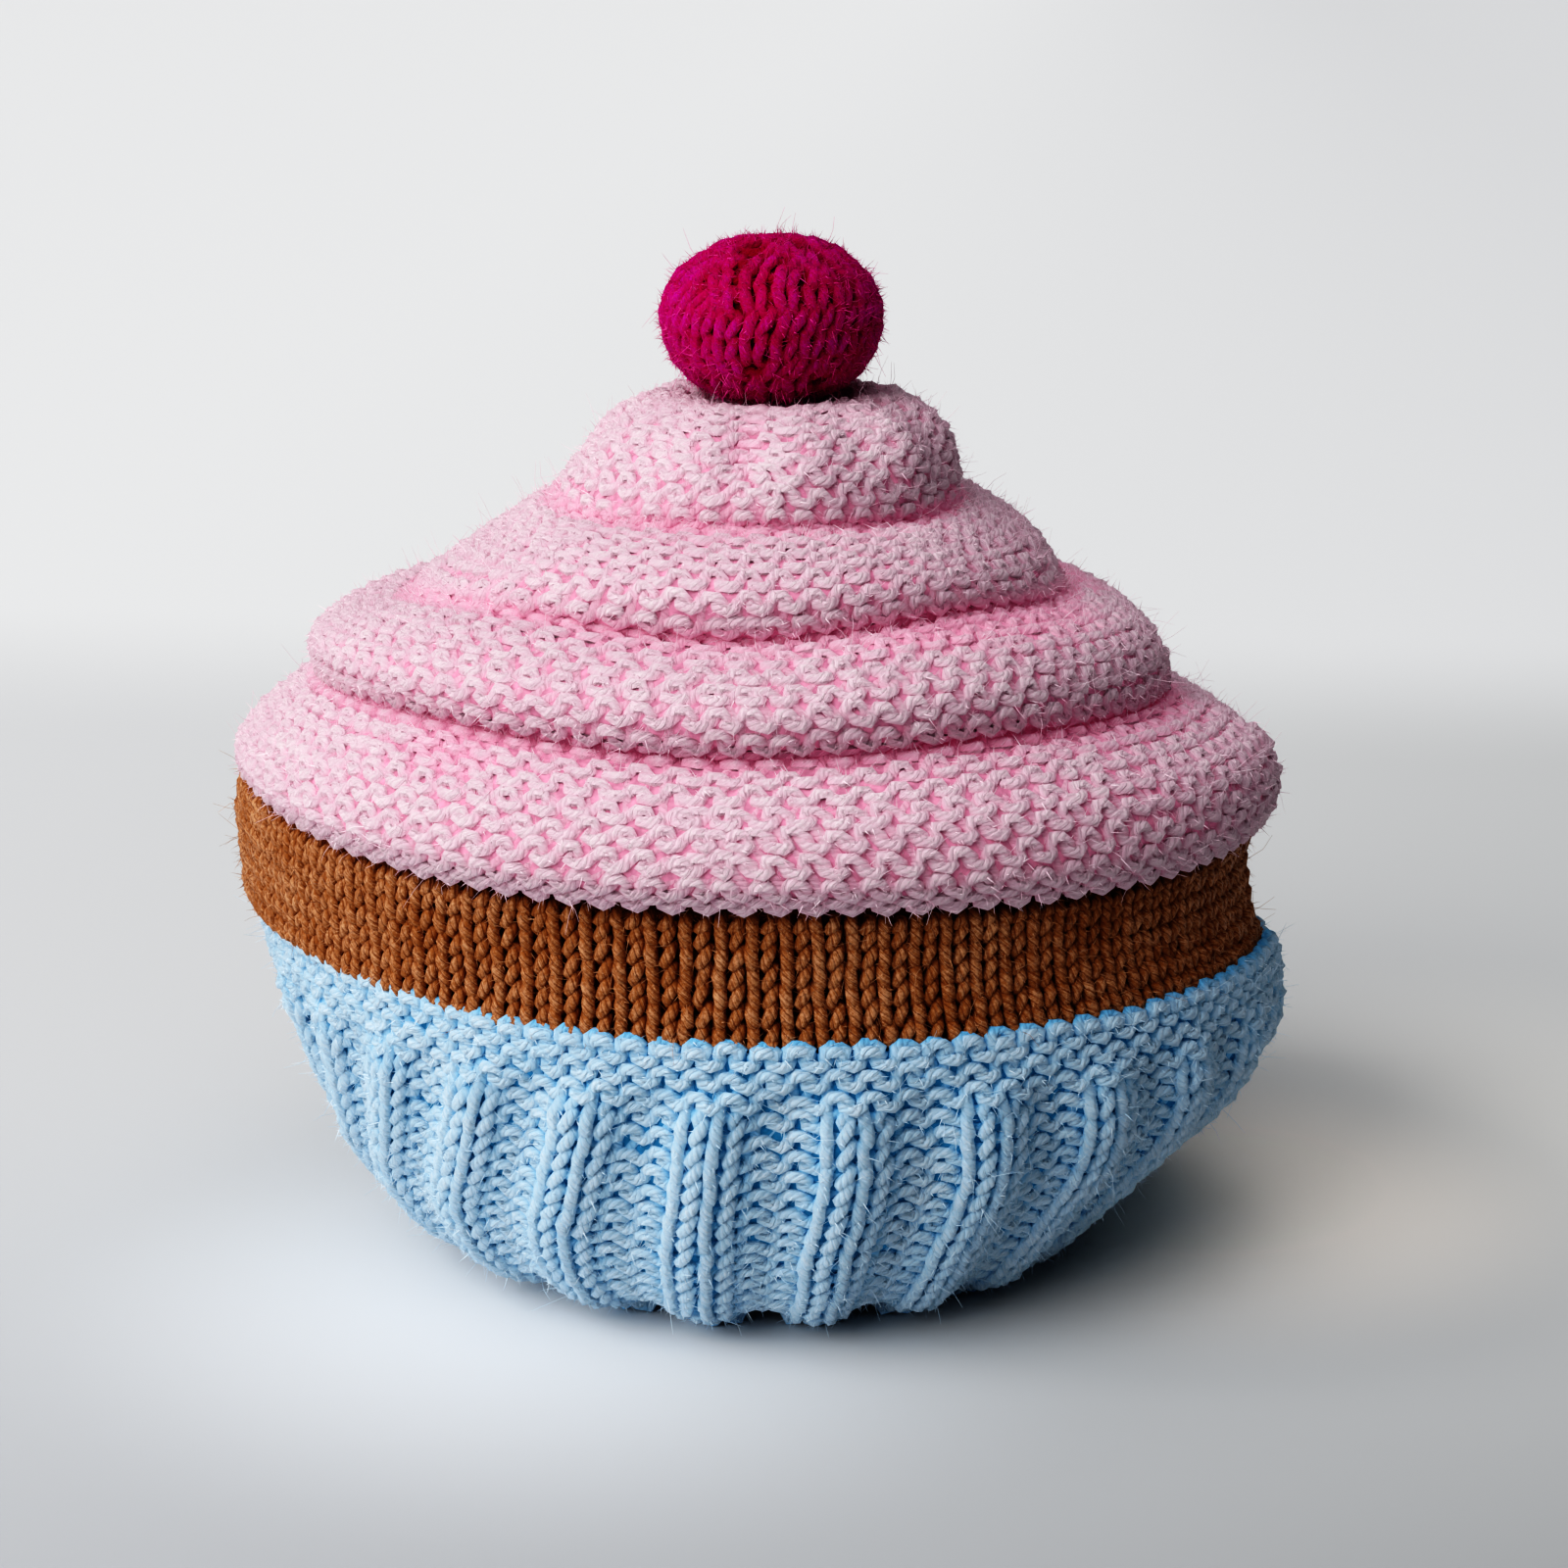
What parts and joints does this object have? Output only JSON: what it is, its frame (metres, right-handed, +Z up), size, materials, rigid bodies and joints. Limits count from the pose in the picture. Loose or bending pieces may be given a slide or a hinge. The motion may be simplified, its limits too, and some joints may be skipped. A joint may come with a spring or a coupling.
{
  "type": "tea cosy",
  "caption": "Knitted tea cosy shaped like a cupcake: ribbed case, plain band, tucked icing and a stuffed cherry, open at the hem and slit at both sides for a spout and a handle.",
  "frame": {"origin": "on the surface the cosy stands on, under the middle of its outline", "axes": "+Z up; the front half faces -Y; the spout's slit is at -X and the handle's slit at +X"},
  "size_m": [0.165, 0.1522, 0.1594],
  "materials": {
    "blue_yarn": "light blue knitted yarn, knit 2 purl 2 rib",
    "brown_yarn": "tan brown knitted yarn, stocking stitch",
    "pink_yarn": "soft pink knitted yarn, reverse stocking stitch in tucked tiers",
    "cherry_yarn": "magenta knitted yarn, stocking stitch, stuffed"
  },
  "bodies": {
    "root": {"case_front": "blue_yarn", "case_back": "blue_yarn", "cake_front": "brown_yarn", "cake_back": "brown_yarn", "icing_front": "pink_yarn", "icing_back": "pink_yarn", "cherry": "cherry_yarn"}
  },
  "joints": []
}
